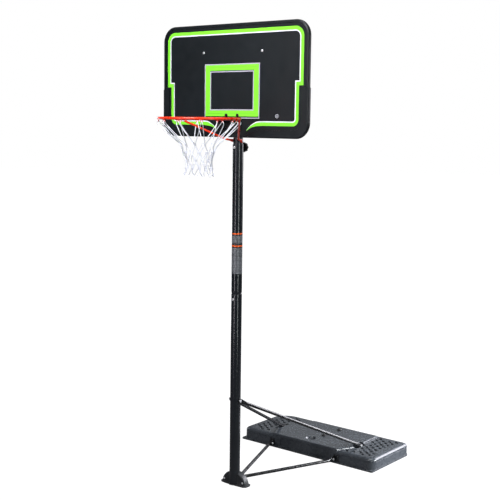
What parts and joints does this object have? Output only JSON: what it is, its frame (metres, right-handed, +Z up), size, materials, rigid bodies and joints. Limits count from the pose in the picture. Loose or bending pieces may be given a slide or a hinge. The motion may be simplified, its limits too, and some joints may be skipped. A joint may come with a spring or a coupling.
{
  "type": "portable basketball hoop",
  "caption": "Portable basketball hoop: weighted base, braced telescoping pole, backboard, steel rim on rod braces and cord net.",
  "frame": {"origin": "on the ground on the pole's axis, at the underside of the foot's floor plate", "axes": "+Z up along the pole; -Y the front, towards the rim; +Y towards the weighted base; +X along the backboard's width, to the right seen from the front"},
  "size_m": [1.13, 1.8254, 2.86],
  "materials": {
    "pole_paint": "gloss black powder coat",
    "black_paint": "satin black powder coat",
    "tank_plastic": "blow-moulded dark grey polyethylene",
    "board_plastic": "moulded black polyethylene with printed lines",
    "rim_paint": "gloss orange-red powder coat",
    "zinc": "bright zinc plating",
    "black_zinc": "black zinc plating",
    "black_plastic": "satin black moulding",
    "net_cord": "white braided nylon cord"
  },
  "bodies": {
    "stand": {"base_tank": "tank_plastic", "brace_clip_left": "black_paint", "brace_clip_right": "black_paint", "brace_clip_bolt_left": "black_zinc", "brace_clip_bolt_right": "black_zinc", "strut_clip_left": "black_paint", "strut_clip_right": "black_paint", "strut_clip_bolt_left": "black_zinc", "strut_clip_bolt_right": "black_zinc", "upper_brace_left": "black_paint", "upper_brace_right": "black_paint", "brace_pivot_bolt": "zinc", "lower_strut_left": "black_paint", "lower_strut_right": "black_paint", "strut_foot_bolt": "zinc", "foot": "tank_plastic", "foot_screw_left": "zinc", "foot_screw_right": "zinc", "bottom_pole": "pole_paint", "middle_pole": "pole_paint", "pole_joint_bolt": "zinc", "height_guide_bolt": "zinc", "brace_clip_nut_left": "black_zinc", "brace_clip_nut_right": "black_zinc", "strut_clip_nut_left": "black_zinc", "strut_clip_nut_right": "black_zinc", "brace_pivot_nut": "zinc", "strut_foot_nut": "zinc", "pole_joint_nut": "zinc"},
    "hoop_head": {"top_pole": "pole_paint", "pole_cap": "black_plastic", "lower_board_bracket": "black_paint", "upper_board_bracket": "black_paint", "backboard": "board_plastic", "upper_board_bolt_left": "zinc", "upper_board_bolt_right": "zinc", "board_bolt_left": "black_zinc", "board_bolt_right": "black_zinc", "rim_bracket": "black_paint", "rim_bracket_bolt_left": "black_zinc", "rim_bracket_bolt_right": "black_zinc", "rim_ring": "rim_paint", "rim_brace_left": "rim_paint", "rim_brace_right": "rim_paint", "rim_brace_bolt": "zinc", "upper_board_nut_left": "zinc", "upper_board_nut_right": "zinc", "board_nut_left": "black_zinc", "board_nut_right": "black_zinc", "rim_bracket_nut_left": "black_zinc", "rim_bracket_nut_right": "black_zinc", "rim_brace_nut": "zinc", "net": "net_cord"},
    "clamp_knob": {"height_knob": "black_plastic"},
    "front_cap": {"fill_cap_front": "black_plastic"},
    "rear_cap": {"fill_cap_rear": "black_plastic"}
  },
  "joints": [
    {"name": "height_slide", "type": "slide", "parent": "stand", "child": "hoop_head", "axis": [0, 0, 1], "range_m": [0, 0.762]},
    {"name": "knob_turn", "type": "hinge", "parent": "stand", "child": "clamp_knob", "pos_m": [0, 0.0333, 2.126], "axis": [0, 1, 0], "range_deg": [0, 720]},
    {"name": "front_cap_lift", "type": "slide", "parent": "stand", "child": "front_cap", "axis": [0, 0, 1], "range_m": [0, 0.05]},
    {"name": "rear_cap_lift", "type": "slide", "parent": "stand", "child": "rear_cap", "axis": [0, 0, 1], "range_m": [0, 0.05]}
  ]
}
